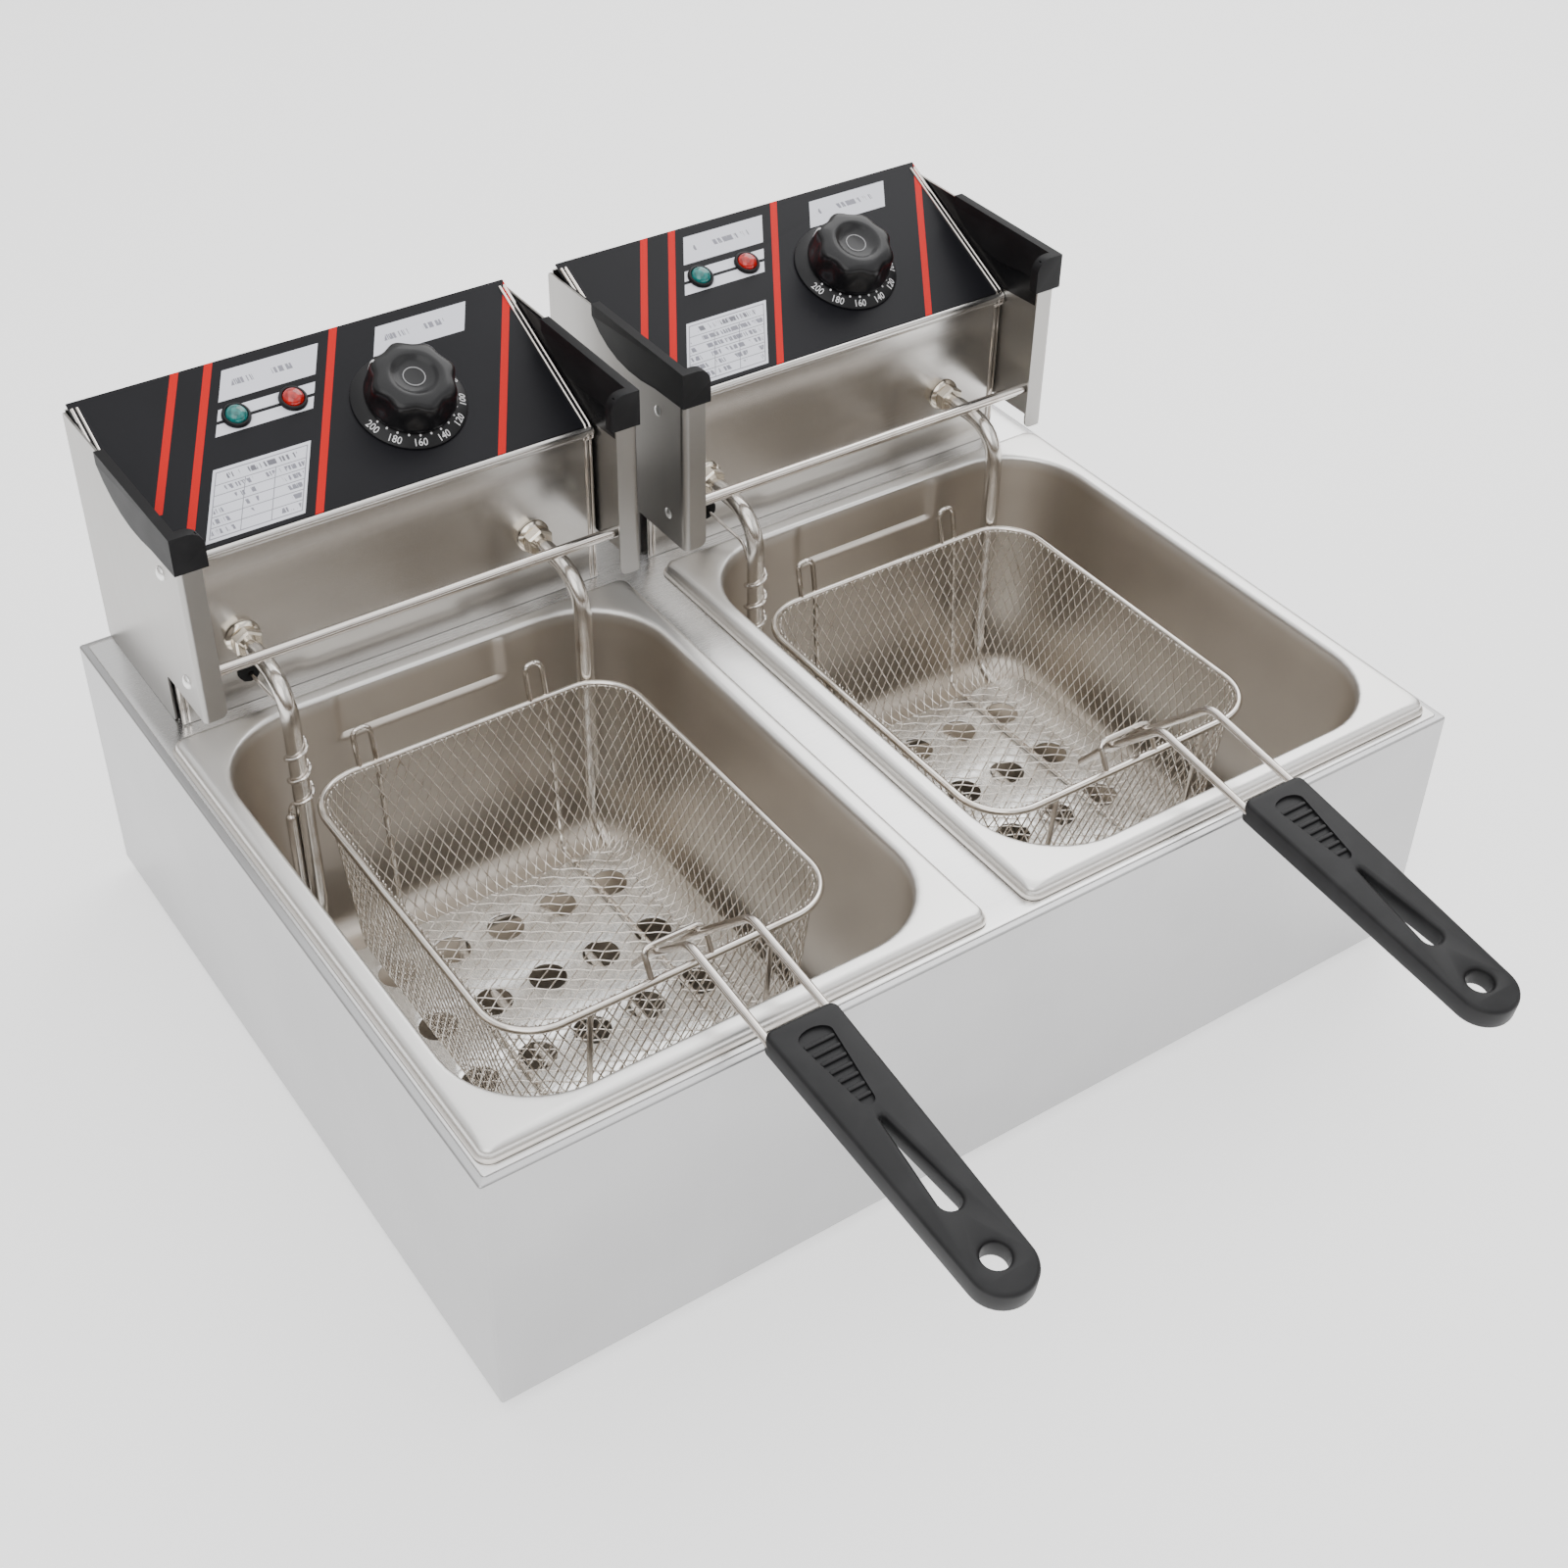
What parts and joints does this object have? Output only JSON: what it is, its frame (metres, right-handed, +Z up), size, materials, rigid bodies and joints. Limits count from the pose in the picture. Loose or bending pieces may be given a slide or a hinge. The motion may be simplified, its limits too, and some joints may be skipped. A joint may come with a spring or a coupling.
{
  "type": "deep fryer",
  "caption": "Countertop electric deep fryer: open pans in a low steel body, lift-off heating heads with sloped control panels, and wire baskets with long handles.",
  "frame": {"origin": "middle of the bottom of the whole object's box, on the plane the feet stand on", "axes": "+Z up, +X to the right along the front face, +Y towards the back, where the heads are"},
  "size_m": [0.569, 0.6296, 0.3077],
  "materials": {
    "steel": "satin stainless sheet",
    "brushed": "brushed stainless sheet, grain across",
    "pan_steel": "fine satin stainless, pressed",
    "bright_wire": "bright nickel-plated wire and tube",
    "panel_black": "satin black printed overlay",
    "black_plastic": "moulded, satin",
    "gloss_black": "moulded, glossy",
    "grip_plastic": "moulded, fine grain",
    "rubber": "matt",
    "green_lens": "clear tinted",
    "red_lens": "clear tinted"
  },
  "bodies": {
    "body": {"body_shell": "steel", "top_deck": "steel", "foot_front_left": "rubber", "foot_front_right": "rubber", "foot_back_left": "rubber", "foot_back_right": "rubber"},
    "left_pan": {"left_tank": "pan_steel"},
    "left_head": {"left_head_case": "steel", "left_head_front": "brushed", "left_control_panel": "panel_black", "left_cheek_left": "steel", "left_cheek_right": "steel", "left_grip_left": "black_plastic", "left_grip_right": "black_plastic", "left_hang_rod": "bright_wire", "left_element": "bright_wire", "left_element_nut_left": "bright_wire", "left_element_nut_right": "bright_wire", "left_capillary": "bright_wire", "left_capillary_grommet": "rubber", "left_guard_plate": "steel", "left_thermostat": "black_plastic", "left_dial_bezel": "black_plastic", "left_lamp_green": "green_lens", "left_lamp_red": "red_lens", "left_cut_out": "black_plastic", "left_cord_gland": "rubber"},
    "left_basket": {"left_basket_mesh": "bright_wire", "left_basket_frame": "bright_wire", "left_handle_frame": "bright_wire", "left_handle_grip": "grip_plastic"},
    "left_knob_body": {"left_knob": "gloss_black"},
    "left_button": {"left_reset_button": "red_lens"},
    "right_pan": {"right_tank": "pan_steel"},
    "right_head": {"right_head_case": "steel", "right_head_front": "brushed", "right_control_panel": "panel_black", "right_cheek_left": "steel", "right_cheek_right": "steel", "right_grip_left": "black_plastic", "right_grip_right": "black_plastic", "right_hang_rod": "bright_wire", "right_element": "bright_wire", "right_element_nut_left": "bright_wire", "right_element_nut_right": "bright_wire", "right_capillary": "bright_wire", "right_capillary_grommet": "rubber", "right_guard_plate": "steel", "right_thermostat": "black_plastic", "right_dial_bezel": "black_plastic", "right_lamp_green": "green_lens", "right_lamp_red": "red_lens", "right_cut_out": "black_plastic", "right_cord_gland": "rubber"},
    "right_basket": {"right_basket_mesh": "bright_wire", "right_basket_frame": "bright_wire", "right_handle_frame": "bright_wire", "right_handle_grip": "grip_plastic"},
    "right_knob_body": {"right_knob": "gloss_black"},
    "right_button": {"right_reset_button": "red_lens"}
  },
  "joints": [
    {"name": "left_pan_lift", "type": "slide", "parent": "body", "child": "left_pan", "axis": [0, 0, 1], "range_m": [0, 0.18]},
    {"name": "left_head_lift", "type": "slide", "parent": "left_pan", "child": "left_head", "axis": [0, 0, 1], "range_m": [0, 0.2]},
    {"name": "left_basket_lift", "type": "slide", "parent": "left_head", "child": "left_basket", "axis": [0, 0, 1], "range_m": [0, 0.2]},
    {"name": "left_knob_turn", "type": "hinge", "parent": "left_head", "child": "left_knob_body", "pos_m": [-0.105, 0.24417, 0.27703], "axis": [0, 0.4354, -0.9002], "range_deg": [0, 300]},
    {"name": "left_reset_press", "type": "slide", "parent": "left_head", "child": "left_button", "axis": [0, -1, 0], "range_m": [0, 0.002], "stiffness_N_per_m": 500},
    {"name": "right_pan_lift", "type": "slide", "parent": "body", "child": "right_pan", "axis": [0, 0, 1], "range_m": [0, 0.18]},
    {"name": "right_head_lift", "type": "slide", "parent": "right_pan", "child": "right_head", "axis": [0, 0, 1], "range_m": [0, 0.2]},
    {"name": "right_basket_lift", "type": "slide", "parent": "right_head", "child": "right_basket", "axis": [0, 0, 1], "range_m": [0, 0.2]},
    {"name": "right_knob_turn", "type": "hinge", "parent": "right_head", "child": "right_knob_body", "pos_m": [0.173, 0.24417, 0.27703], "axis": [0, 0.4354, -0.9002], "range_deg": [0, 300]},
    {"name": "right_reset_press", "type": "slide", "parent": "right_head", "child": "right_button", "axis": [0, -1, 0], "range_m": [0, 0.002], "stiffness_N_per_m": 500}
  ]
}
